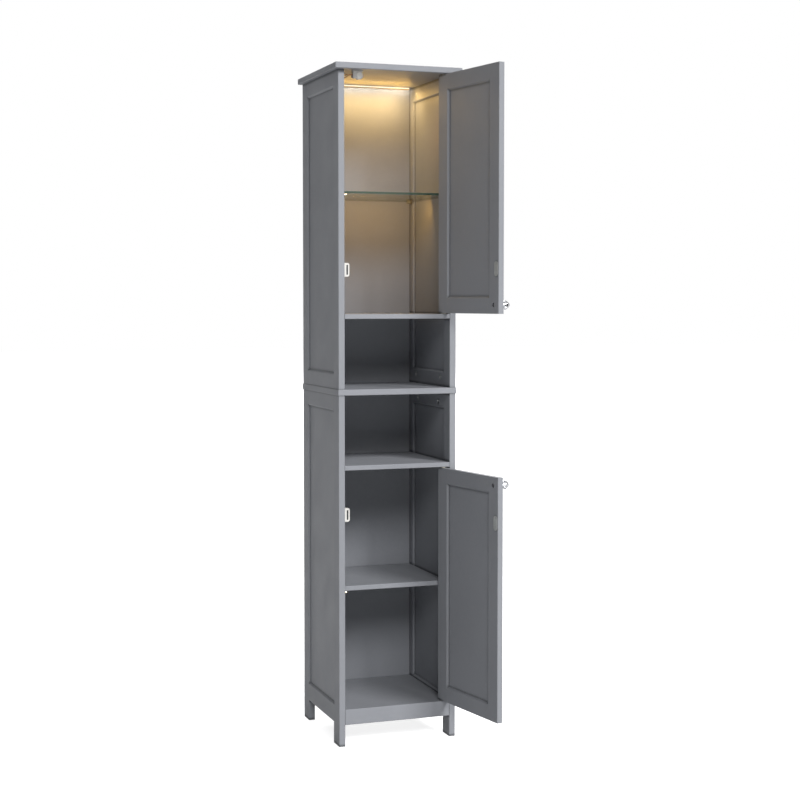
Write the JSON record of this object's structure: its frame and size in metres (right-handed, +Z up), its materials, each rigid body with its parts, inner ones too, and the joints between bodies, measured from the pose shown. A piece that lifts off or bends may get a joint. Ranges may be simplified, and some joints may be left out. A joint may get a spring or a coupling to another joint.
{
  "type": "tall bathroom cabinet",
  "caption": "Tall slim framed cabinet on legs with a hinged door above and below, open niches between, loose shelves and a light under the top.",
  "frame": {"origin": "on the floor, under the middle of the footprint of the side frames", "axes": "+Z up, +X to the right seen from the front, -Y towards the doors and the viewer"},
  "size_m": [0.371, 0.5728, 1.7],
  "materials": {
    "painted_board": "satin grey paint on fibreboard",
    "shelf_glass": "clear float glass, ground edges, green edge",
    "crystal": "cut clear crystal",
    "knob_metal": "polished",
    "zinc_steel": "zinc plated",
    "pin_metal": "plated, slightly yellow",
    "bush_plastic": "moulded",
    "white_plastic": "moulded, fine satin",
    "magnet": "dark pole plates",
    "led_aluminium": "anodised",
    "led_lens": "lit diffuser",
    "sensor_dome": "milky lens",
    "lead": "thin insulated lead"
  },
  "bodies": {
    "cabinet": {"bottom_panel": "painted_board", "carcass_fasteners": "zinc_steel", "catch_cases": "white_plastic", "catch_magnets": "magnet", "front_apron": "painted_board", "glass_shelf": "shelf_glass", "led_channel": "led_aluminium", "led_diffuser": "led_lens", "left_lower_back_stile": "painted_board", "left_lower_bottom_rail": "painted_board", "left_lower_front_stile": "painted_board", "left_lower_panel": "painted_board", "left_lower_top_rail": "painted_board", "left_upper_back_stile": "painted_board", "left_upper_bottom_rail": "painted_board", "left_upper_front_stile": "painted_board", "left_upper_panel": "painted_board", "left_upper_top_rail": "painted_board", "loose_shelf": "painted_board", "lower_back_panel": "painted_board", "lower_fixed_shelf": "painted_board", "mid_board": "painted_board", "motion_sensor": "white_plastic", "pivot_bushes": "bush_plastic", "right_lower_back_stile": "painted_board", "right_lower_bottom_rail": "painted_board", "right_lower_front_stile": "painted_board", "right_lower_panel": "painted_board", "right_lower_top_rail": "painted_board", "right_upper_back_stile": "painted_board", "right_upper_bottom_rail": "painted_board", "right_upper_front_stile": "painted_board", "right_upper_panel": "painted_board", "right_upper_top_rail": "painted_board", "sensor_lead": "lead", "sensor_lens": "sensor_dome", "shelf_pins": "pin_metal", "top_board": "painted_board", "upper_back_panel": "painted_board", "upper_fixed_shelf": "painted_board"},
    "upper_door": {"upper_door_bottom_rail": "painted_board", "upper_door_free_stile": "painted_board", "upper_door_hinge_stile": "painted_board", "upper_door_knob_base": "knob_metal", "upper_door_knob_crystal": "crystal", "upper_door_panel": "painted_board", "upper_door_pivot_plates": "zinc_steel", "upper_door_screws": "zinc_steel", "upper_door_strike_plate": "zinc_steel", "upper_door_top_rail": "painted_board"},
    "lower_door": {"lower_door_bottom_rail": "painted_board", "lower_door_free_stile": "painted_board", "lower_door_hinge_stile": "painted_board", "lower_door_knob_base": "knob_metal", "lower_door_knob_crystal": "crystal", "lower_door_panel": "painted_board", "lower_door_pivot_plates": "zinc_steel", "lower_door_screws": "zinc_steel", "lower_door_strike_plate": "zinc_steel", "lower_door_top_rail": "painted_board"}
  },
  "joints": [
    {"name": "upper_door_hinge", "type": "hinge", "parent": "cabinet", "child": "upper_door", "pos_m": [0.125, -0.15, 1.38425], "axis": [0, 0, 1], "range_deg": [-100.5, 19.5]},
    {"name": "lower_door_hinge", "type": "hinge", "parent": "cabinet", "child": "lower_door", "pos_m": [0.125, -0.15, 0.39375], "axis": [0, 0, 1], "range_deg": [-100.5, 19.5]}
  ]
}
